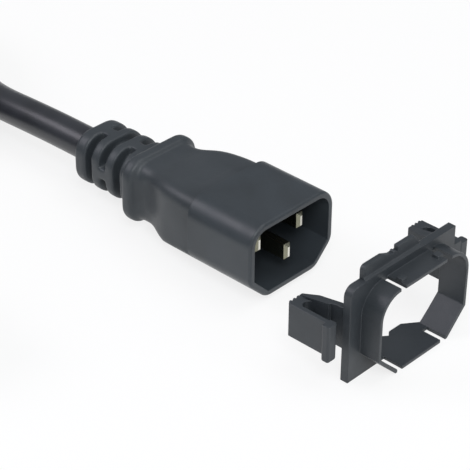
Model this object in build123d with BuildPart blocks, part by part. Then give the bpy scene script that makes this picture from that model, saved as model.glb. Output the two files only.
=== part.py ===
from build123d import *
import os
from math import sqrt, tan, radians

# Locking power connector: a moulded male plug on a cord, with its locking insert.
# Millimetres. +X is the way the plug mates, +Y its width, +Z up.
# The origin lies on the floor under the middle of the plug and insert.

os.makedirs("parts", exist_ok=True)

# Plug shroud
shroud_width = 27.8
shroud_height = 20.0
shroud_length = 19.6
shroud_wall = 1.55
shroud_corner = 5.2
shroud_chamfer = 5.6
shroud_knee = 4.0
shroud_floor = 3.2
rim_round = 0.7
cavity_corner = 3.7
cavity_chamfer = 4.6
spigot_width = 19.0
spigot_height = 12.4
spigot_length = 3.0
spigot_corner = 2.0

# Pins and the block that carries them
pin_thickness = 2.0
pin_height = 4.0
pin_tip_bevel = 0.7
pin_pitch = 14.0
line_pin_rise = 2.0
earth_pin_drop = 2.0
line_pin_recess = 3.6
earth_pin_recess = 1.0
bridge_width = 18.4
bridge_height = 11.6
bridge_length = 4.4
bridge_corner = 1.6
barrel_diameter = 3.0
barrel_length = 6.0
barrel_floor = 0.8

# Cord and the three cores inside it
cord_diameter = 8.5
core_diameter = 2.9
wire_diameter = 1.6
core_gap = 0.06
core_bend_radius = 4.0
sheath_length = 17.0
core_lead_in = 1.5

# Grip moulded round the back of the shroud
grip_length = 21.4
grip_drop = 0.3
shoulder_step = 1.5
shoulder_top_step = 1.15
shoulder_foot_step = 0.55
neck_width = 17.6
neck_height = 15.6
grip_corner = 3.2
flange_width = 22.4
flange_height = 17.2
flange_drop = 0.15
flange_thickness = 3.5
flange_corner = 5.0
flange_round = 1.1
# Where the neck swells to the shoulder: share of the length, share of the swelling
swell = ((0.12, 0.0), (0.24, 0.13), (0.36, 0.43), (0.5, 0.71), (0.66, 0.87), (0.83, 0.96))

# How the flange falls away to the neck: distance in front of the neck's start, width there
fairing = ((-1.1, 22.0), (0.2, 19.7), (1.4, 18.2), (2.8, 17.3))
fairing_height = 14.8
fairing_corner = 3.6

# Strain relief
relief_length = 19.8
relief_width = 15.5
relief_height = 14.0
relief_corner = 5.2
relief_drop = 1.05
relief_round = 0.9
slot_width = 2.25
slot_pitch = 4.85
slot_rear_rib = 3.7
slot_bridge = 3.0
slot_core = 10.2
slot_count = 3

# Bare panels on top of the grip
panel_depth = 0.15
badge_panel = (6.4, 5.6)
badge_panel_centre = (11.2, -3.9)
strip_panel = (3.8, 13.0)
strip_panel_centre = (5.4, 1.0)

# Locking insert
insert_clearance = 0.2
collar_wall = 0.9
collar_depth = 5.2
plate_thickness = 2.1
plate_width = 37.4
plate_top = 12.9
plate_corner = 2.4
far_wing_top = 7.9
far_side = 16.25
far_top_corner = 1.4
far_step_corner = 0.6
plate_foot_corner = 1.2
rest_gap = 31.0
slot_gap = 1.65
top_slot_start = 6.95
foot_slot_start = 6.65
crest_thickness = 1.25
crest_fillet = 0.8
crest_end = 13.9
crest_shoulder = 7.7
crest_trough = 5.0
crest_plateau = 2.8
crest_far_end = 5.2
crest_height = 16.2
trough_height = 15.05
crest_corner = 1.2
bump_radius = 0.45
bump_place = 3.8
lip_depth = 3.0
lip_rear_width = 10.0
lip_front_width = 18.0
lip_notch_width = 2.4
lip_notch_depth = 1.0
nub_length = 1.7
nub_width = 1.9
nub_height = 0.8
nub_reach = 6.1
nub_inset = 2.1

# Side latches
latch_length = 12.2
latch_reach = 22.5
latch_height = 8.6
latch_rise = 0.9
latch_pad = 2.6
latch_pad_inner = 17.8
latch_inner_face = 16.5
latch_gap = 2.7
inner_arm = 2.15
arm_root_top = 7.1
arm_root_foot = 3.4
web_length = 3.9
web_thickness = 1.5
web_clearance = 0.07
bar_length = 2.1
bar_advance = 0.5
bar_proud = 1.1
bar_depth = 2.8
bar_drop = 0.8
bar_round = 0.6
serration_count = 4
serration_depth = 0.35
latch_edge = 0.35

# Tolerance for picking edges by place
tiny = 0.01

# Cord run and put-away coil
coil_mid_radius = 43.0
coil_turns_wide = 3
coil_layers = 2
coil_edge = 3.6
bend_share = 0.45
coil_x = -141.0
coil_y = -32.0
connector_y = -76.4
tail_exit_x = -91.0

# Connector on the far end
nose_width = 24.0
nose_height = 16.5
nose_length = 16.5
nose_corner = 1.9
nose_chamfer = 4.3
nose_root = 6.0
mouth_round = 0.5
mouth_width = 2.8
mouth_height = 5.2
chamber_width = 4.2
chamber_height = 6.2
chamber_depth = 14.0
mouth_depth = 2.2
contact_wall = 0.6
contact_length = 11.0
connector_width = 27.6
connector_height = 19.6
connector_length = 24.0
connector_corner = 4.4
connector_neck_width = 16.4
connector_neck_height = 14.8
connector_taper = 12.0
connector_relief = 19.0
connector_relief_width = 14.6
connector_round = 0.9

# Stations along the plug and insert
total_length = (
    relief_length + flange_thickness + grip_length + shroud_length
    + rest_gap + plate_thickness + collar_depth
)
axis_z = shroud_height / 2 + insert_clearance + collar_wall
exit_x = -total_length / 2
relief_front_x = exit_x + relief_length
neck_x = relief_front_x + flange_thickness
shoulder_x = neck_x + grip_length
rim_x = shoulder_x + shroud_length
plate_x = rim_x + rest_gap
plate_front_x = plate_x + plate_thickness
collar_front_x = plate_front_x + collar_depth
bridge_front_x = shoulder_x - spigot_length
bridge_rear_x = bridge_front_x - bridge_length
barrel_rear_x = bridge_rear_x - barrel_length
sheath_front_x = exit_x + sheath_length
exit_z = axis_z - relief_drop

# Pole name: side, height above the axis, tip set back from the rim
poles = {
    "live": (-pin_pitch / 2, line_pin_rise, line_pin_recess),
    "neutral": (pin_pitch / 2, line_pin_rise, line_pin_recess),
    "earth": (0.0, -earth_pin_drop, earth_pin_recess),
}

# Where each core lies in the round of the cord
core_circle = core_diameter / sqrt(3) + core_gap
core_seat = {
    "live": (-core_circle * sqrt(3) / 2, core_circle / 2),
    "neutral": (core_circle * sqrt(3) / 2, core_circle / 2),
    "earth": (0.0, -core_circle),
}


def across(x, z=axis_z):
    """Plane square to the plug's axis, with Y to its right and Z up."""
    return Plane(origin=(x, 0, z), x_dir=(0, 1, 0), z_dir=(1, 0, 0))


def socket_outline(width, height, corner, cut):
    """Outline of the mating family: two round upper corners, two cut lower ones."""
    with BuildSketch(mode=Mode.PRIVATE) as outline:
        Rectangle(width, height)
        fillet(outline.vertices().group_by(Axis.Y)[-1], corner)
        chamfer(outline.vertices().group_by(Axis.Y)[0], cut)
    return outline.sketch


def shroud_outline(grow):
    """Outline of the shroud, moved outwards evenly."""
    return socket_outline(
        shroud_width + 2 * grow,
        shroud_height + 2 * grow,
        shroud_corner + grow,
        shroud_chamfer + grow * (2 - sqrt(2)),
    )


def bend_radii(points):
    """For each corner of a route, the largest arc that its two runs allow."""
    radii = []
    for before, corner, after in zip(points, points[1:], points[2:]):
        run_in = Vector(*corner) - Vector(*before)
        run_out = Vector(*after) - Vector(*corner)
        turn = run_in.get_angle(run_out)
        shorter = min(run_in.length, run_out.length)
        radii.append(bend_share * shorter / tan(radians(turn / 2)))
    return radii


def finish(builder, label):
    """Names a finished piece and writes it."""
    builder.part.label = label
    export_step(builder.part, f"parts/{label}.step")


# Shroud: a stiff moulded socket shell with a floor that the pins pass through
with BuildPart() as plug_shroud:
    with BuildSketch(across(shoulder_x)) as shroud_sketch:
        add(shroud_outline(0))
        knees = shroud_sketch.vertices().group_by(Axis.Y)
        fillet(knees[0] + knees[1], shroud_knee)
    extrude(amount=shroud_length)
    fillet(plug_shroud.faces().sort_by(Axis.X)[-1].edges(), rim_round)
    with BuildSketch(across(rim_x)):
        add(
            socket_outline(
                shroud_width - 2 * shroud_wall,
                shroud_height - 2 * shroud_wall,
                cavity_corner,
                cavity_chamfer,
            )
        )
    extrude(amount=shroud_floor - shroud_length, mode=Mode.SUBTRACT)
    with BuildSketch(across(bridge_front_x)):
        RectangleRounded(spigot_width, spigot_height, spigot_corner)
    extrude(amount=spigot_length)
    with BuildSketch(across(bridge_front_x)):
        for side, rise, recess in poles.values():
            with Locations((side, rise)):
                Rectangle(pin_thickness, pin_height)
    extrude(amount=spigot_length + shroud_floor, mode=Mode.SUBTRACT)
finish(plug_shroud, "plug_shroud")

# Bridge: the block behind the floor that holds the three pins in line
with BuildPart() as pin_bridge:
    with BuildSketch(across(bridge_rear_x)):
        RectangleRounded(bridge_width, bridge_height, bridge_corner)
        for side, rise, recess in poles.values():
            with Locations((side, rise)):
                Rectangle(pin_thickness, pin_height, mode=Mode.SUBTRACT)
    extrude(amount=bridge_length)
finish(pin_bridge, "pin_bridge")

# Pins: flat blades with bevelled tips, and a crimped barrel at the back
pins = []
for pole, (side, rise, recess) in poles.items():
    with BuildPart() as pin:
        with BuildSketch(across(bridge_rear_x)):
            with Locations((side, rise)):
                Rectangle(pin_thickness, pin_height)
        extrude(amount=rim_x - recess - bridge_rear_x)
        chamfer(pin.faces().sort_by(Axis.X)[-1].edges(), pin_tip_bevel)
        with BuildSketch(across(bridge_rear_x)):
            with Locations((side, rise)):
                Circle(barrel_diameter / 2)
        extrude(amount=-barrel_length)
        with BuildSketch(across(barrel_rear_x)):
            with Locations((side, rise)):
                Circle(wire_diameter / 2)
        extrude(amount=barrel_length - barrel_floor, mode=Mode.SUBTRACT)
    finish(pin, f"{pole}_pin")
    pins.append(pin)

# Cores: insulated wires from the barrels to the round of the cord
cores = []
wires = []
for pole, (side, rise, recess) in poles.items():
    seat_y, seat_z = core_seat[pole]
    bend_x = barrel_rear_x - core_lead_in
    lay_x = sheath_front_x + core_lead_in
    route = [
        (bend_x, side, axis_z + rise),
        (lay_x, seat_y, exit_z + seat_z),
        (exit_x, seat_y, exit_z + seat_z),
    ]
    with BuildPart() as core:
        with BuildLine() as line:
            FilletPolyline((barrel_rear_x, side, axis_z + rise), *route, radius=core_bend_radius)
        with BuildSketch(across(barrel_rear_x)):
            with Locations((side, rise)):
                Circle(core_diameter / 2)
                Circle(wire_diameter / 2, mode=Mode.SUBTRACT)
        sweep(path=line.wires()[0])
    finish(core, f"{pole}_core")
    cores.append(core)
    wire_start_x = bridge_rear_x - barrel_floor
    with BuildPart() as wire:
        with BuildLine() as line:
            FilletPolyline((wire_start_x, side, axis_z + rise), *route, radius=core_bend_radius)
        with BuildSketch(across(wire_start_x)):
            with Locations((side, rise)):
                Circle(wire_diameter / 2)
        sweep(path=line.wires()[0])
    finish(wire, f"{pole}_wire")
    wires.append(wire)

# Sheath end: the stretch of the cord's jacket that the strain relief holds
with BuildPart() as sheath_end:
    with BuildSketch(across(exit_x, exit_z)):
        Circle(cord_diameter / 2)
        for seat in core_seat.values():
            with Locations(seat):
                Circle(core_diameter / 2, mode=Mode.SUBTRACT)
    extrude(amount=sheath_length)
finish(sheath_end, "sheath_end")

# Grip: soft moulding with a swelling body, a finger flange and the strain relief
shoulder_width = shroud_width - 2 * shoulder_step
shoulder_height = shroud_height - shoulder_top_step - shoulder_foot_step
grip_z = axis_z - grip_drop
with BuildPart() as plug_grip:
    for along, share in ((0.0, 0.0), *swell, (1.0, 1.0)):
        with BuildSketch(across(neck_x + along * grip_length, grip_z)):
            RectangleRounded(
                neck_width + share * (shoulder_width - neck_width),
                neck_height + share * (shoulder_height - neck_height),
                grip_corner,
            )
    loft()
    with BuildSketch(across(neck_x)):
        add(shroud_outline(0))
    extrude(amount=grip_length, mode=Mode.INTERSECT)
    with BuildSketch(Plane.XY.offset(grip_z + shoulder_height / 2 - panel_depth)):
        with Locations((shoulder_x - badge_panel_centre[0], badge_panel_centre[1])):
            Rectangle(*badge_panel)
        with Locations((shoulder_x - strip_panel_centre[0], strip_panel_centre[1])):
            Rectangle(*strip_panel)
    extrude(amount=2 * panel_depth, mode=Mode.SUBTRACT)
with BuildPart() as flange_fairing:
    for ahead, width in fairing:
        with BuildSketch(across(neck_x + ahead, grip_z)):
            RectangleRounded(width, fairing_height, fairing_corner)
    loft()
with BuildPart() as grip_flange:
    with BuildSketch(across(relief_front_x, axis_z - flange_drop)):
        RectangleRounded(flange_width, flange_height, flange_corner)
    extrude(amount=flange_thickness)
    fillet(grip_flange.faces().filter_by(Axis.X).edges(), flange_round)
with BuildPart() as relief:
    with BuildSketch(across(exit_x, exit_z)):
        RectangleRounded(relief_width, relief_height, relief_corner)
    extrude(amount=relief_length + flange_thickness / 2)
    fillet(relief.faces().sort_by(Axis.X)[0].edges(), relief_round)
    for ring in range(slot_count):
        ring_x = exit_x + slot_rear_rib + ring * slot_pitch
        with BuildSketch(across(ring_x, exit_z)):
            Rectangle(2 * relief_width, 2 * relief_height)
            Circle(slot_core / 2, mode=Mode.SUBTRACT)
            if ring == 1:
                Rectangle(2 * relief_width, slot_bridge, mode=Mode.SUBTRACT)
            else:
                Rectangle(slot_bridge, 2 * relief_height, mode=Mode.SUBTRACT)
        extrude(amount=slot_width, mode=Mode.SUBTRACT)
with plug_grip:
    add(flange_fairing.part)
    add(grip_flange.part)
    add(relief.part)
    for inner in (plug_shroud, pin_bridge, sheath_end, *pins, *cores, *wires):
        add(inner.part, mode=Mode.SUBTRACT)
finish(plug_grip, "plug_grip")

# Insert frame: a plate with a slotted collar that slides over the shroud
collar_grow = insert_clearance + collar_wall
foot_z = axis_z - shroud_height / 2 - collar_grow
crest_front_x = plate_x + crest_thickness
web_side = latch_inner_face + web_thickness / 2
with BuildPart() as insert_frame:
    with BuildSketch(across(plate_x)) as plate_sketch:
        with BuildLine():
            Polyline(
                (-plate_width / 2, foot_z - axis_z),
                (plate_width / 2, foot_z - axis_z),
                (plate_width / 2, far_wing_top),
                (far_side, far_wing_top),
                (far_side, plate_top),
                (-plate_width / 2, plate_top),
                close=True,
            )
        make_face()
        corners = plate_sketch.vertices()
        fillet(corners.group_by(Axis.X)[0].sort_by(Axis.Y)[-1], plate_corner)
        fillet(corners.group_by(Axis.Y)[0], plate_foot_corner)
        fillet(corners.group_by(Axis.X)[-1].sort_by(Axis.Y)[-1], far_step_corner)
        fillet(corners.group_by(Axis.Y)[-1].sort_by(Axis.X)[-1], far_top_corner)
    extrude(amount=plate_thickness)
    with BuildSketch(across(plate_x)) as crest_sketch:
        with BuildLine() as crest_line:
            Polyline(
                (-crest_end, plate_top - crest_thickness),
                (crest_far_end, plate_top - crest_thickness),
                (crest_far_end, plate_top),
                (crest_plateau, crest_height),
                (-crest_plateau, crest_height),
                (-crest_plateau, trough_height),
                (-crest_trough, trough_height),
                (-crest_shoulder, crest_height),
                (-crest_end, crest_height),
                close=True,
            )
        make_face()
        with Locations((-bump_place, trough_height)):
            Circle(bump_radius)
        crest_near_top = crest_sketch.vertices().group_by(Axis.X)[0].sort_by(Axis.Y)[-1]
        fillet(crest_near_top, crest_corner)
    extrude(amount=crest_thickness)
    ledge = insert_frame.edges().filter_by(Axis.Y).filter_by(
        lambda e: abs(e.center().X - crest_front_x) < tiny
        and abs(e.center().Z - axis_z - plate_top) < tiny
    )
    fillet(ledge, crest_fillet)
    with BuildSketch(across(plate_front_x)):
        add(shroud_outline(collar_grow))
    extrude(amount=collar_depth)
    with BuildSketch(Plane.XY.offset(foot_z)):
        with BuildLine():
            Polyline(
                (plate_x, -lip_front_width / 2),
                (plate_x - lip_depth, -lip_rear_width / 2),
                (plate_x - lip_depth, -lip_notch_width / 2),
                (plate_x - lip_depth + lip_notch_depth, 0),
                (plate_x - lip_depth, lip_notch_width / 2),
                (plate_x - lip_depth, lip_rear_width / 2),
                (plate_x, lip_front_width / 2),
                close=True,
            )
        make_face()
    extrude(amount=collar_wall)
    with BuildSketch(Plane.XY.offset(axis_z + shroud_height / 2 + collar_grow)):
        with Locations(
            (collar_front_x - nub_inset, nub_reach),
            (collar_front_x - nub_inset, -nub_reach),
        ):
            Rectangle(nub_length, nub_width)
    extrude(amount=nub_height)
    with BuildSketch(across(plate_x)):
        add(shroud_outline(insert_clearance))
    extrude(amount=plate_thickness + collar_depth, mode=Mode.SUBTRACT)
    slot_x = plate_front_x + collar_depth / 2
    for slot_start, way in ((top_slot_start, 1), (foot_slot_start, -1)):
        slot_y = slot_start + slot_gap / 2
        with BuildSketch(Plane.XY.offset(axis_z)):
            with Locations((slot_x, slot_y), (slot_x, -slot_y)):
                Rectangle(collar_depth, slot_gap)
        extrude(amount=way * shroud_height, mode=Mode.SUBTRACT)
    with BuildSketch(Plane.XY.offset(axis_z - arm_root_foot - web_clearance)):
        with Locations((plate_x, web_side), (plate_x, -web_side)):
            Circle(web_thickness / 2 + web_clearance)
    extrude(amount=arm_root_foot + arm_root_top + 2 * web_clearance, mode=Mode.SUBTRACT)
finish(insert_frame, "insert_frame")

# Latches: U-shaped springs with a ribbed pad, a lock bar and a thin web at the root
latch_rear_x = plate_x - latch_length
bar_front_x = plate_x + bar_advance
latch_z = axis_z + latch_rise
bar_rear_x = bar_front_x - bar_length
arm_outer_face = latch_inner_face + inner_arm
gap_outer_face = arm_outer_face + latch_gap
gap_end_x = latch_rear_x + latch_pad + latch_gap / 2
rib_pitch = (latch_reach - latch_pad_inner) / (2 * serration_count)
for name, side in (("near_latch", -1), ("far_latch", 1)):
    with BuildPart() as latch:
        with BuildSketch(Plane.XY.offset(axis_z)):
            with BuildLine():
                Polyline(
                    (latch_rear_x, side * latch_pad_inner),
                    (gap_end_x, side * latch_inner_face),
                    (plate_x, side * latch_inner_face),
                    (plate_x, side * (latch_inner_face + web_thickness)),
                    (plate_x - web_length, side * (latch_inner_face + web_thickness)),
                    (plate_x - web_length, side * arm_outer_face),
                    (latch_rear_x, side * arm_outer_face),
                    close=True,
                )
            make_face()
            with Locations((plate_x, side * web_side)):
                Circle(web_thickness / 2)
        extrude(amount=arm_root_top, both=True)
        with BuildSketch(Plane.XZ.offset(-side * latch_reach)):
            with BuildLine():
                Polyline(
                    (latch_rear_x, latch_z - latch_height / 2),
                    (plate_x - web_length / 2, axis_z - arm_root_foot),
                    (plate_front_x, axis_z - arm_root_foot),
                    (plate_front_x, axis_z + arm_root_top),
                    (plate_x - web_length / 2, axis_z + arm_root_top),
                    (latch_rear_x, latch_z + latch_height / 2),
                    close=True,
                )
            make_face()
        extrude(amount=latch_reach, both=True, mode=Mode.INTERSECT)
        with BuildSketch(Plane.XY.offset(latch_z)):
            with BuildLine():
                Polyline(
                    (latch_rear_x, side * latch_pad_inner),
                    (latch_rear_x, side * latch_reach),
                    (bar_rear_x + latch_edge, side * latch_reach),
                    (bar_rear_x + latch_edge, side * gap_outer_face),
                    (gap_end_x, side * gap_outer_face),
                    (gap_end_x, side * arm_outer_face),
                    (gap_end_x, side * latch_inner_face),
                    close=True,
                )
            make_face()
            with Locations((gap_end_x, side * (arm_outer_face + latch_gap / 2))):
                Circle(latch_gap / 2, mode=Mode.SUBTRACT)
            for rib in range(serration_count):
                groove_y = latch_pad_inner + (2 * rib + 1) * rib_pitch + rib_pitch / 2
                with Locations((latch_rear_x, side * groove_y)):
                    Rectangle(2 * serration_depth, rib_pitch, mode=Mode.SUBTRACT)
        extrude(amount=latch_height / 2, both=True)
    with BuildPart() as bar:
        bar_outer = latch_reach + bar_proud
        with BuildSketch(Plane.XY.offset(latch_z - latch_height / 2 - bar_drop)):
            with Locations((bar_rear_x + bar_length / 2, side * (bar_outer - bar_depth / 2))):
                Rectangle(bar_length, bar_depth)
        extrude(amount=latch_height + bar_drop)
        fillet(bar.edges().filter_by(Axis.Z), bar_round)
        fillet(bar.faces().sort_by(Axis.Z)[0].edges(), bar_round)
    with latch:
        add(bar.part)
    finish(latch, name)

# Cord lead: the free cord from the strain relief down to the floor and to the coil
cord_z = cord_diameter / 2
coil_outer = coil_mid_radius + coil_turns_wide / 2 * cord_diameter
coil_inner = coil_mid_radius - coil_turns_wide / 2 * cord_diameter
lead_points = [
    (exit_x, 0, exit_z),
    (-63.0, 0.0, exit_z),
    (-77.0, 0.2, 9.4),
    (-90.0, 1.2, 7.9),
    (-101.0, 5.0, 6.1),
    (-111.5, 10.0, 4.7),
]
top_turn_z = (coil_layers - 0.5) * cord_diameter
connector_z = connector_height / 2
tail_points = [
    (-123.2, -81.2, top_turn_z),
    (-112.5, -78.3, 11.6),
    (-101.5, connector_y, connector_z),
    (tail_exit_x, connector_y, connector_z),
]
for name, points in (("cord_lead", lead_points), ("cord_tail", tail_points)):
    radii = bend_radii(points)
    with BuildPart() as cord:
        with BuildLine() as route:
            FilletPolyline(*points, radius=radii)
        path = route.wires()[0]
        with BuildSketch(Plane(path @ 0, z_dir=path % 0)):
            Circle(cord_diameter / 2)
        sweep(path=path)
    print(name, "length", round(path.length, 1), "radii", [round(r) for r in radii])
    print(name, "volume share", round(cord.part.volume / path.length / Circle(cord_z).area, 4))
    finish(cord, name)

# Coil: the outer shape of the turns that are put away beside the plug
with BuildPart() as cord_coil:
    with BuildSketch():
        with Locations((coil_x, coil_y)):
            Circle(coil_outer)
            Circle(coil_inner, mode=Mode.SUBTRACT)
    extrude(amount=coil_layers * cord_diameter)
    fillet(cord_coil.edges(), coil_edge)
finish(cord_coil, "cord_coil")

# Stations along the connector on the far end
connector_neck_x = tail_exit_x + connector_relief
connector_full_x = connector_neck_x + connector_taper
connector_front_x = connector_full_x + connector_length
nose_front_x = connector_front_x + nose_length
nose_rear_x = connector_front_x - nose_root
chamber_front_x = nose_front_x - mouth_depth
chamber_rear_x = chamber_front_x - chamber_depth


def connector_across(x):
    """Plane square to the connector's axis, with Y to its right and Z up."""
    return Plane(origin=(x, connector_y, connector_z), x_dir=(0, 1, 0), z_dir=(1, 0, 0))


# Connector core: the hard nose with a chamber for each contact
with BuildPart() as connector_core:
    with BuildSketch(connector_across(nose_rear_x)):
        add(socket_outline(nose_width, nose_height, nose_corner, nose_chamfer))
    extrude(amount=nose_root + nose_length)
    fillet(connector_core.faces().sort_by(Axis.X)[-1].edges(), mouth_round)
    for start_x, reach, width, height in (
        (chamber_rear_x, chamber_depth, chamber_width, chamber_height),
        (chamber_front_x, mouth_depth, mouth_width, mouth_height),
    ):
        with BuildSketch(connector_across(start_x)):
            for side, rise, recess in poles.values():
                with Locations((side, rise)):
                    Rectangle(width, height)
        extrude(amount=reach, mode=Mode.SUBTRACT)
    with BuildSketch(connector_across(nose_rear_x)):
        for side, rise, recess in poles.values():
            with Locations((side, rise)):
                Circle(barrel_diameter / 2)
    extrude(amount=chamber_rear_x - nose_rear_x, mode=Mode.SUBTRACT)
finish(connector_core, "connector_core")

# Contacts: sprung sleeves on a round tail, and the cores that run back to the cord
contacts = []
leads = []
connector_sheath_x = tail_exit_x + sheath_length
for pole, (side, rise, recess) in poles.items():
    with BuildPart() as contact:
        with BuildSketch(connector_across(chamber_rear_x)):
            with Locations((side, rise)):
                Rectangle(chamber_width, chamber_height)
        extrude(amount=contact_length)
        with BuildSketch(connector_across(chamber_rear_x + contact_wall)):
            with Locations((side, rise)):
                Rectangle(chamber_width - 2 * contact_wall, chamber_height - 2 * contact_wall)
        extrude(amount=contact_length - contact_wall, mode=Mode.SUBTRACT)
        with BuildSketch(connector_across(chamber_rear_x)):
            with Locations((side, rise)):
                Circle(barrel_diameter / 2)
        extrude(amount=nose_rear_x - chamber_rear_x)
    finish(contact, f"connector_{pole}_contact")
    contacts.append(contact)
    seat_y, seat_z = core_seat[pole]
    with BuildPart() as lead:
        with BuildLine() as line:
            FilletPolyline(
                (nose_rear_x, connector_y + side, connector_z + rise),
                (nose_rear_x - core_lead_in, connector_y + side, connector_z + rise),
                (connector_sheath_x + core_lead_in, connector_y + seat_y, connector_z + seat_z),
                (tail_exit_x, connector_y + seat_y, connector_z + seat_z),
                radius=core_bend_radius,
            )
        with BuildSketch(connector_across(nose_rear_x)):
            with Locations((side, rise)):
                Circle(core_diameter / 2)
        sweep(path=line.wires()[0])
    finish(lead, f"connector_{pole}_core")
    leads.append(lead)

# Sheath end inside the connector's strain relief
with BuildPart() as connector_sheath_end:
    with BuildSketch(connector_across(tail_exit_x)):
        Circle(cord_diameter / 2)
        for seat in core_seat.values():
            with Locations(seat):
                Circle(core_diameter / 2, mode=Mode.SUBTRACT)
    extrude(amount=sheath_length)
finish(connector_sheath_end, "connector_sheath_end")

# Connector grip: soft moulding round the back of the nose, with its strain relief
with BuildPart() as connector_grip:
    with BuildSketch(connector_across(connector_full_x)):
        RectangleRounded(connector_width, connector_height, connector_corner)
    extrude(amount=connector_length)
    fillet(connector_grip.faces().sort_by(Axis.X)[-1].edges(), connector_round)
    with BuildSketch(connector_across(connector_full_x)):
        RectangleRounded(connector_width, connector_height, connector_corner)
    with BuildSketch(connector_across(connector_neck_x)):
        RectangleRounded(connector_neck_width, connector_neck_height, connector_corner)
    loft()
    with BuildSketch(connector_across(tail_exit_x)):
        RectangleRounded(connector_relief_width, connector_relief_width, connector_corner)
    extrude(amount=connector_relief)
    fillet(connector_grip.faces().sort_by(Axis.X)[0].edges(), connector_round)
    for ring in range(slot_count):
        with BuildSketch(connector_across(tail_exit_x + slot_rear_rib + ring * slot_pitch)):
            Rectangle(2 * connector_relief_width, 2 * connector_relief_width)
            Circle(slot_core / 2, mode=Mode.SUBTRACT)
            if ring == 1:
                Rectangle(2 * connector_relief_width, slot_bridge, mode=Mode.SUBTRACT)
            else:
                Rectangle(slot_bridge, 2 * connector_relief_width, mode=Mode.SUBTRACT)
        extrude(amount=slot_width, mode=Mode.SUBTRACT)
    for inner in (connector_core, connector_sheath_end, *contacts, *leads):
        add(inner.part, mode=Mode.SUBTRACT)
finish(connector_grip, "connector_grip")
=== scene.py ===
from math import cos, pi, radians, sin

import bmesh
import bpy
from mathutils import Euler, Matrix


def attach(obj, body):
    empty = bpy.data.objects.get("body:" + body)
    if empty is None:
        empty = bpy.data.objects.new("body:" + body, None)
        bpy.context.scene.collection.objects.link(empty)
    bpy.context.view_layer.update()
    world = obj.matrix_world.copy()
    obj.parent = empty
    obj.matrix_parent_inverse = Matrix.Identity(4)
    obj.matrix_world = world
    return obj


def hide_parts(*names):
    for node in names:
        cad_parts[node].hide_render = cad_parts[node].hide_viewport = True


# Locking power connector: a moulded plug on its cord, with its locking insert taken off in front.
# Metres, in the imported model's frame: +X is the way the plug mates, +Z up, the floor at zero.
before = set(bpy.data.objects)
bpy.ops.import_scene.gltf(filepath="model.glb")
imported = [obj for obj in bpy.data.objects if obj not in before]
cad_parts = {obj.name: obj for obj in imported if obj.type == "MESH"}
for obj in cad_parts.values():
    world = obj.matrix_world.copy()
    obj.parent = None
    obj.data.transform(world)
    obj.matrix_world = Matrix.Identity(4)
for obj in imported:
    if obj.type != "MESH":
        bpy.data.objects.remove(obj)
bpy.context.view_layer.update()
MM = 0.001


# Studio: a white sweep under soft, plain light, as for a catalogue picture.
# The floor takes the shadow; seen by the camera it is nearly the white of the page.
def linear(colour):
    """An sRGB hex colour as linear red, green, blue and alpha."""
    parts = [int(colour[i : i + 2], 16) / 255 for i in (1, 3, 5)]
    return [c / 12.92 if c <= 0.04045 else ((c + 0.055) / 1.055) ** 2.4 for c in parts] + [1.0]


def add_node(tree, kind, inputs=None, **settings):
    """Adds a node, sets its settings, and fills or links its sockets."""
    made = tree.nodes.new(kind)
    for name, value in settings.items():
        setattr(made, name, value)
    for socket, value in (inputs or {}).items():
        if isinstance(value, bpy.types.NodeSocket):
            tree.links.new(value, made.inputs[socket])
        else:
            made.inputs[socket].default_value = value
    return made


def new_material(name):
    """An empty node material and its tree."""
    material = bpy.data.materials.new(name)
    material.use_nodes = True
    material.node_tree.nodes.clear()
    return material, material.node_tree


def deselect():
    """Leaves nothing selected, in object mode."""
    if bpy.context.object and bpy.context.object.mode != "OBJECT":
        bpy.ops.object.mode_set(mode="OBJECT")
    bpy.ops.object.select_all(action="DESELECT")


deselect()
bpy.ops.mesh.primitive_plane_add(size=4.0, location=(0, 0, 0))
floor = bpy.context.object
floor.name = "floor"
sweep_paper, tree = new_material("sweep_paper")
paper = add_node(tree, "ShaderNodeBsdfDiffuse", {"Color": linear("#f4f4f3")})
page = add_node(tree, "ShaderNodeEmission", {"Color": linear("#ffffff"), "Strength": 1.0})
path = add_node(tree, "ShaderNodeLightPath")
seen = add_node(
    tree,
    "ShaderNodeMath",
    {0: path.outputs["Is Camera Ray"], 1: path.outputs["Is Glossy Ray"]},
    operation="MAXIMUM",
)
share = add_node(tree, "ShaderNodeMath", {0: seen.outputs[0], 1: 0.8}, operation="MULTIPLY")
mixed = add_node(tree, "ShaderNodeMixShader", {0: share.outputs[0], 1: paper.outputs[0], 2: page.outputs[0]})
add_node(tree, "ShaderNodeOutputMaterial", {"Surface": mixed.outputs[0]})
floor.data.materials.append(sweep_paper)

world = bpy.data.worlds.new("studio")
world.use_nodes = True
bpy.context.scene.world = world
tree = world.node_tree
tree.nodes.clear()
path = add_node(tree, "ShaderNodeLightPath")
seen = add_node(
    tree,
    "ShaderNodeMath",
    {0: path.outputs["Is Camera Ray"], 1: path.outputs["Is Transmission Ray"]},
    operation="MAXIMUM",
)
surround = add_node(tree, "ShaderNodeBackground", {"Color": linear("#e9edf2"), "Strength": 0.35})
backdrop = add_node(tree, "ShaderNodeBackground", {"Color": linear("#ffffff"), "Strength": 1.0})
mixed = add_node(tree, "ShaderNodeMixShader", {0: seen.outputs[0], 1: surround.outputs[0], 2: backdrop.outputs[0]})
add_node(tree, "ShaderNodeOutputWorld", {"Surface": mixed.outputs[0]})

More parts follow.
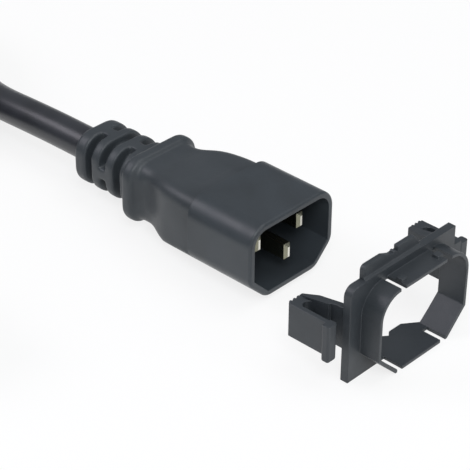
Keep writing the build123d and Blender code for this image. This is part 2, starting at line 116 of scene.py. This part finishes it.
# The key lies where the shroud's rounded near edge mirrors it into the lens, which draws the long
# gleam there. The others fill the top, the open front and the near sides.
for name, place, size, watts, tone in (
    ("key_softbox", (-0.75, -0.58, 0.82), 0.6, 4.7, "#f6f1fb"),
    ("top_softbox", (0.2, 0.3, 1.1), 0.8, 3.6, "#ffffff"),
    ("front_softbox", (0.95, 0.1, 0.38), 0.7, 2.6, "#fafcff"),
    ("fill_softbox", (0.58, -0.52, 0.92), 0.5, 6.4, "#fafcff"),
):
    light = bpy.data.lights.new(name, "AREA")
    light.shape = "SQUARE"
    light.size = size
    light.energy = watts
    light.color = linear(tone)[:3]
    lamp = bpy.data.objects.new(name, light)
    lamp.location = place
    lamp.rotation_euler = lamp.location.to_track_quat("Z", "Y").to_euler()
    bpy.context.collection.objects.link(lamp)

# Camera: a long lens from the front right and above, as the photograph was taken.
# The lens shift sets the optical centre off the picture's middle, as it was fitted to the photograph.
eye = (251.08 * MM, -270.22 * MM, 249.57 * MM)
view_turn = radians(41.381)
view_drop = radians(33.511)
view_roll = radians(1.446)
focal_pixels = 1913.5
frame_pixels = 470
shift_pixels = (-57.28, 11.16)
sensor = 36.0
lens = bpy.data.cameras.new("camera")
lens.sensor_width = sensor
lens.lens = sensor * focal_pixels / frame_pixels
lens.shift_x = shift_pixels[0] / frame_pixels
lens.shift_y = shift_pixels[1] / frame_pixels
lens.clip_start = 0.01
camera = bpy.data.objects.new("camera", lens)
camera.location = eye
level = Euler((pi / 2 - view_drop, 0, view_turn)).to_matrix()
camera.rotation_euler = (level @ Matrix.Rotation(view_roll, 3, "Z")).to_euler()
bpy.context.collection.objects.link(camera)
bpy.context.scene.camera = camera
bpy.context.scene.view_settings.view_transform = "Standard"

# Cord: a round vinyl sheath on three cores, 8.5 mm across and about 1.6 m long.
# It leaves the strain relief, sinks to the floor and is put away in a flat coil of two layers,
# three turns wide, which it leaves on top for the connector on its far end.
cord_diameter = 8.5 * MM
exit_point = (-51.3 * MM, 0, 10.05 * MM)
low_z = cord_diameter / 2
high_z = 1.5 * cord_diameter
lead = [
    exit_point,
    (-63.0 * MM, 0, 10.05 * MM),
    (-77.0 * MM, 0.2 * MM, 9.4 * MM),
    (-90.0 * MM, 1.2 * MM, 7.9 * MM),
    (-101.0 * MM, 5.0 * MM, 6.1 * MM),
    (-111.5 * MM, 10.0 * MM, 4.7 * MM),
]
tail = [
    (-123.2 * MM, -81.2 * MM, high_z),
    (-112.5 * MM, -78.3 * MM, 11.6 * MM),
    (-101.5 * MM, -76.4 * MM, 9.8 * MM),
    (-91.0 * MM, -76.4 * MM, 9.8 * MM),
]
coil_centre = (-141.0 * MM, -32.0 * MM)
outer_turn = 51.5 * MM
inner_turn = outer_turn - 2 * cord_diameter
turns_in_layer = 3
turn_step = 18
first_angle = 64
ring_start = 90
climb_start = 990
climb_end = 1170
last_angle = 2080
climb_dip = 1.6 * MM


def ease(share):
    """A soft start and a soft end between 0 and 1."""
    return share * share * (3 - 2 * share)


def turn_radius(angle):
    """Distance from the coil's middle: half of each turn keeps its ring, and half moves to the next."""
    ring, into = divmod(angle - ring_start, 360)
    step = max(ring, 0) + ease(max(into - 180, 0) / 180 if ring >= 0 else 0)
    if angle <= climb_start:
        return outer_turn - cord_diameter * step
    if angle <= climb_end:
        climbed = (angle - climb_start) / (climb_end - climb_start)
        return inner_turn - climb_dip * sin(pi * climbed)
    return inner_turn + cord_diameter * (step - turns_in_layer)


coil = []
angle = first_angle + turn_step / 2
while angle < last_angle:
    reach = turn_radius(angle) / cos(radians(turn_step / 2))
    climb = ease(min(max((angle - climb_start) / (climb_end - climb_start), 0.0), 1.0))
    coil.append(
        (
            coil_centre[0] + reach * cos(radians(angle)),
            coil_centre[1] + reach * sin(radians(angle)),
            low_z + (high_z - low_z) * climb,
        )
    )
    angle += turn_step

route = lead + coil + tail
curve = bpy.data.curves.new("power_cord", "CURVE")
curve.dimensions = "3D"
curve.resolution_u = 5
curve.bevel_depth = cord_diameter / 2
curve.bevel_resolution = 9
curve.use_fill_caps = True
spline = curve.splines.new("NURBS")
spline.points.add(len(route) - 1)
for point, place in zip(spline.points, route):
    point.co = (*place, 1.0)
spline.order_u = 3
spline.use_endpoint_u = True
power_cord = bpy.data.objects.new("power_cord", curve)
bpy.context.collection.objects.link(power_cord)

# Extruded vinyl: a near-black sheath with a soft shine along it and a fine grain, 0.7 mm across,
# which is coarser than the real one, so that it shows.
vinyl_ior = 1.53
cord_vinyl, tree = new_material("extruded_cord_vinyl")
place = add_node(tree, "ShaderNodeTexCoord")
cloud = add_node(tree, "ShaderNodeTexNoise", {"Vector": place.outputs["Object"], "Scale": 90.0, "Detail": 3.0})
tint = add_node(tree, "ShaderNodeValToRGB", {"Fac": cloud.outputs["Fac"]})
tint.color_ramp.elements[0].position = 0.3
tint.color_ramp.elements[0].color = linear("#25272b")
tint.color_ramp.elements[1].position = 0.75
tint.color_ramp.elements[1].color = linear("#2f3136")
skin = add_node(tree, "ShaderNodeTexNoise", {"Vector": place.outputs["Object"], "Scale": 1400.0, "Detail": 2.0})
bump = add_node(tree, "ShaderNodeBump", {"Height": skin.outputs["Fac"], "Strength": 0.12, "Distance": 0.05 * MM})
vinyl = add_node(
    tree,
    "ShaderNodeBsdfPrincipled",
    {
        "Base Color": tint.outputs["Color"],
        "Roughness": 0.33,
        "IOR": vinyl_ior,
        "Specular IOR Level": 0.45,
        "Normal": bump.outputs["Normal"],
    },
)
add_node(tree, "ShaderNodeOutputMaterial", {"Surface": vinyl.outputs[0]})
curve.materials.append(cord_vinyl)

# Shroud: the plug's stiff socket shell, moulded in a glass-filled PBT with a smooth satin skin.
# It is ejected from a polished mould, so its edges are only just broken and it takes long soft gleams.
WELD = 0.001 * MM
FLAT = radians(0.5)
CRISP = radians(35)
NEARLY_STRAIGHT = radians(150)
SMOOTH_BELOW = radians(22)


def moulded_plastic(name, deep, pale, roughness, grain, relief, shine=0.3):
    """A moulded plastic: two near tones, a cloudy gloss, and a grain of that many millimetres."""
    material, tree = new_material(name)
    place = add_node(tree, "ShaderNodeTexCoord")
    flow = add_node(
        tree, "ShaderNodeTexNoise", {"Vector": place.outputs["Object"], "Scale": 70.0, "Detail": 4.0, "Distortion": 0.6}
    )
    tint = add_node(tree, "ShaderNodeValToRGB", {"Fac": flow.outputs["Fac"]})
    tint.color_ramp.elements[0].position = 0.32
    tint.color_ramp.elements[0].color = linear(deep)
    tint.color_ramp.elements[1].position = 0.7
    tint.color_ramp.elements[1].color = linear(pale)
    handling = add_node(tree, "ShaderNodeTexNoise", {"Vector": place.outputs["Object"], "Scale": 210.0, "Detail": 5.0})
    gloss = add_node(
        tree,
        "ShaderNodeMapRange",
        {"Value": handling.outputs["Fac"], 1: 0.3, 2: 0.7, 3: roughness - 0.04, 4: roughness + 0.05},
    )
    pits = add_node(
        tree, "ShaderNodeTexNoise", {"Vector": place.outputs["Object"], "Scale": 1 / (grain * MM), "Detail": 2.0}
    )
    bump = add_node(tree, "ShaderNodeBump", {"Height": pits.outputs["Fac"], "Strength": 0.35, "Distance": relief * MM})
    plastic = add_node(
        tree,
        "ShaderNodeBsdfPrincipled",
        {
            "Base Color": tint.outputs["Color"],
            "Roughness": gloss.outputs["Result"],
            "IOR": vinyl_ior,
            "Specular IOR Level": shine,
            "Normal": bump.outputs["Normal"],
        },
    )
    add_node(tree, "ShaderNodeOutputMaterial", {"Surface": plastic.outputs[0]})
    return material


def moulded_copy(node, name, edge, merge_flats=True, room_needed=2.2):
    """The CAD solid as one closed mesh, its sharp edges broken by that many millimetres.

    An edge stays sharp where the faces beside it have less room than room_needed times the break."""
    deselect()
    piece = bpy.data.objects.new(name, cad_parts[node].data.copy())
    bpy.context.collection.objects.link(piece)
    piece.select_set(True)
    bpy.context.view_layer.objects.active = piece
    bpy.ops.object.mode_set(mode="EDIT")
    bpy.ops.mesh.select_mode(type="EDGE")
    bpy.ops.mesh.select_all(action="SELECT")
    bpy.ops.mesh.remove_doubles(threshold=WELD)
    if merge_flats:
        bpy.ops.mesh.dissolve_limited(angle_limit=FLAT)
    bpy.ops.mesh.select_all(action="DESELECT")
    shell = bmesh.from_edit_mesh(piece.data)
    for crisp in shell.edges:
        if crisp.calc_face_angle() < CRISP:
            continue
        room = 1.0
        foot = crisp.verts[0].co
        run = crisp.verts[1].co - foot
        for side in crisp.link_loops:
            for corner in side.face.verts:
                reach = corner.co - foot
                if corner not in crisp.verts and 0 < reach.dot(run) < run.length_squared:
                    room = min(room, reach.cross(run).length / run.length)
            ahead = side.link_loop_next
            for corner, beside in ((side.vert, side.link_loop_prev.edge), (ahead.vert, ahead.edge)):
                along = crisp.other_vert(corner).co - corner.co
                away = beside.other_vert(corner).co - corner.co
                turn = along.angle(away)
                if turn < NEARLY_STRAIGHT:
                    room = min(room, away.length * sin(turn))
        crisp.select = room > room_needed * edge * MM
    bmesh.update_edit_mesh(piece.data)
    bpy.ops.mesh.bevel(offset=edge * MM, segments=3, affect="EDGES")
    bpy.ops.object.mode_set(mode="OBJECT")
    bpy.ops.object.shade_smooth_by_angle(angle=SMOOTH_BELOW)
    piece.modifiers.new("flat_faces_stay_flat", "WEIGHTED_NORMAL").keep_sharp = True
    bpy.ops.object.modifier_apply(modifier="flat_faces_stay_flat")
    return piece


def melt_creases(piece, voxel, passes):
    """A soft moulding's skin: an even mesh of that many millimetres, relaxed so that inner corners melt."""
    even = piece.modifiers.new("even_skin", "REMESH")
    even.mode = "VOXEL"
    even.voxel_size = voxel * MM
    bpy.ops.object.modifier_apply(modifier="even_skin")
    relaxed = piece.modifiers.new("relaxed_skin", "SMOOTH")
    relaxed.factor = 0.5
    relaxed.iterations = passes
    bpy.ops.object.modifier_apply(modifier="relaxed_skin")
    bpy.ops.object.shade_smooth()


def dress(piece, material, slot, body, *nodes):
    """Gives a finished piece its material, its body and the nodes that it stands for; the slot is not used."""
    piece.data.materials.clear()
    piece.data.materials.append(material)
    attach(piece, body)
    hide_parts(*nodes)


shroud_plastic = moulded_plastic("satin_pbt", "#31363a", "#383e43", 0.38, 0.5, 0.02, shine=0.4)
shroud = moulded_copy("plug_shroud", "socket_shroud", edge=0.15)
dress(shroud, shroud_plastic, "shroud_plastic", "plug", "plug_shroud")

# Grip: soft vinyl moulded over the back of the shroud, with a finger flange and a slotted relief.
# It is a matt, slightly sunken skin, softer at its edges than the shroud.
grip_vinyl = moulded_plastic("matt_soft_vinyl", "#32373b", "#3a3f43", 0.44, 0.35, 0.03, shine=0.4)
grip = moulded_copy("plug_grip", "finger_grip", edge=0.3, merge_flats=False)
melt_creases(grip, voxel=0.34, passes=8)
dress(grip, grip_vinyl, "grip_vinyl", "plug", "plug_grip")

# Insert: the locking frame and its two sprung latches, moulded in one go in a tough nylon.
# It stands off the plug here, as it does before it is pushed on.
insert_nylon = moulded_plastic("spark_eroded_nylon", "#2d3236", "#35393d", 0.42, 0.3, 0.05, shine=0.4)
for node, name, body in (
    ("insert_frame", "locking_frame", "insert"),
    ("near_latch", "near_side_latch", "near_latch"),
    ("far_latch", "far_side_latch", "far_latch"),
):
    dress(moulded_copy(node, name, edge=0.18), insert_nylon, "insert_plastic", body, node)

# Pins: flat brass blades with bevelled tips, plated with nickel that has a faint yellow cast.
# The drawn sides are dull, and the end faces, which point along the blade, are painted paler as a painted highlight.
pin_nickel, tree = new_material("nickel_plate")
place = add_node(tree, "ShaderNodeTexCoord")
along = add_node(tree, "ShaderNodeMapping", {"Vector": place.outputs["Object"], "Scale": (60.0, 2600.0, 2600.0)})
drawn = add_node(tree, "ShaderNodeTexNoise", {"Vector": along.outputs[0], "Scale": 1.0, "Detail": 3.0})
gloss = add_node(tree, "ShaderNodeMapRange", {"Value": drawn.outputs["Fac"], 1: 0.3, 2: 0.7, 3: 0.26, 4: 0.36})
facing = add_node(tree, "ShaderNodeNewGeometry")
facing_axes = add_node(tree, "ShaderNodeSeparateXYZ", {"Vector": facing.outputs["Normal"]})
# Faces that point forward, the tips' end faces, get the paler colour: a painted highlight in the base colour.
tip_highlight_mask = add_node(tree, "ShaderNodeMapRange", {"Value": facing_axes.outputs["X"], 1: 0.85, 2: 0.95})
plating_and_painted_highlight = add_node(tree, "ShaderNodeValToRGB", {"Fac": tip_highlight_mask.outputs["Result"]})
plating_and_painted_highlight.color_ramp.elements[0].color = linear("#8f8e7c")
plating_and_painted_highlight.color_ramp.elements[1].color = linear("#e2e0d6")
bump = add_node(tree, "ShaderNodeBump", {"Height": drawn.outputs["Fac"], "Strength": 0.05, "Distance": 0.005 * MM})
nickel = add_node(
    tree,
    "ShaderNodeBsdfPrincipled",
    {
        "Base Color": plating_and_painted_highlight.outputs["Color"],
        "Metallic": 1.0,
        "Roughness": gloss.outputs["Result"],
        "Normal": bump.outputs["Normal"],
    },
)
add_node(tree, "ShaderNodeOutputMaterial", {"Surface": nickel.outputs[0]})
for pole in ("live", "neutral", "earth"):
    blade = moulded_copy(f"{pole}_pin", f"{pole}_blade", edge=0.08, room_needed=1.5)
    dress(blade, pin_nickel, "pin_metal", "plug", f"{pole}_pin")

# Far connector: the same vinyl grip round a hard nose, with a mouth for each blade.
# It lies on the floor beside the coil and rides on the plug's body, as the cord does.
connector_body = moulded_copy("connector_grip", "connector_body", edge=0.4, merge_flats=False)
dress(connector_body, grip_vinyl, "grip_vinyl", "plug", "connector_grip")
connector_nose = moulded_copy("connector_core", "connector_nose", edge=0.2)
dress(connector_nose, shroud_plastic, "shroud_plastic", "plug", "connector_core")
on_cord = [connector_body, connector_nose, "connector_sheath_end"]
for pole in ("live", "neutral", "earth"):
    on_cord += [f"connector_{pole}_contact", f"connector_{pole}_core"]
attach(power_cord, "plug")
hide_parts("cord_lead", "cord_coil", "cord_tail")

# Inner parts: the carrier, cores, conductors and contacts, seen only with the plug taken apart.
# They keep their CAD shapes and only get the material of the real thing.
carrier_plastic = moulded_plastic("carrier_pbt", "#2d2d2e", "#363637", 0.5, 0.5, 0.04)
brown_vinyl = moulded_plastic("brown_core_vinyl", "#5b3520", "#6b4028", 0.45, 0.6, 0.03)
blue_vinyl = moulded_plastic("blue_core_vinyl", "#24539c", "#2f62b0", 0.45, 0.6, 0.03)
green_vinyl = moulded_plastic("green_core_vinyl", "#3d8a32", "#4d9c3e", 0.45, 0.6, 0.03)


def worked_metal(name, colour, roughness):
    """A bare drawn or stamped metal with a cloudy tarnish."""
    material, tree = new_material(name)
    place = add_node(tree, "ShaderNodeTexCoord")
    tarnish = add_node(tree, "ShaderNodeTexNoise", {"Vector": place.outputs["Object"], "Scale": 400.0, "Detail": 4.0})
    gloss = add_node(
        tree,
        "ShaderNodeMapRange",
        {"Value": tarnish.outputs["Fac"], 1: 0.3, 2: 0.7, 3: roughness - 0.05, 4: roughness + 0.08},
    )
    metal = add_node(
        tree,
        "ShaderNodeBsdfPrincipled",
        {"Base Color": linear(colour), "Metallic": 1.0, "Roughness": gloss.outputs["Result"]},
    )
    add_node(tree, "ShaderNodeOutputMaterial", {"Surface": metal.outputs[0]})
    return material


bare_copper = worked_metal("bare_copper", "#d98f68", 0.3)
contact_brass = worked_metal("stamped_brass", "#d6bb74", 0.3)
inner_finishes = {
    "pin_bridge": carrier_plastic,
    "sheath_end": cord_vinyl,
    "connector_sheath_end": cord_vinyl,
    "live_core": brown_vinyl,
    "neutral_core": blue_vinyl,
    "earth_core": green_vinyl,
    "connector_live_core": brown_vinyl,
    "connector_neutral_core": blue_vinyl,
    "connector_earth_core": green_vinyl,
}
for pole in ("live", "neutral", "earth"):
    inner_finishes[f"{pole}_wire"] = bare_copper
    inner_finishes[f"connector_{pole}_contact"] = contact_brass
for node, finish in inner_finishes.items():
    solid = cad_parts[node]
    solid.data.materials.clear()
    solid.data.materials.append(finish)
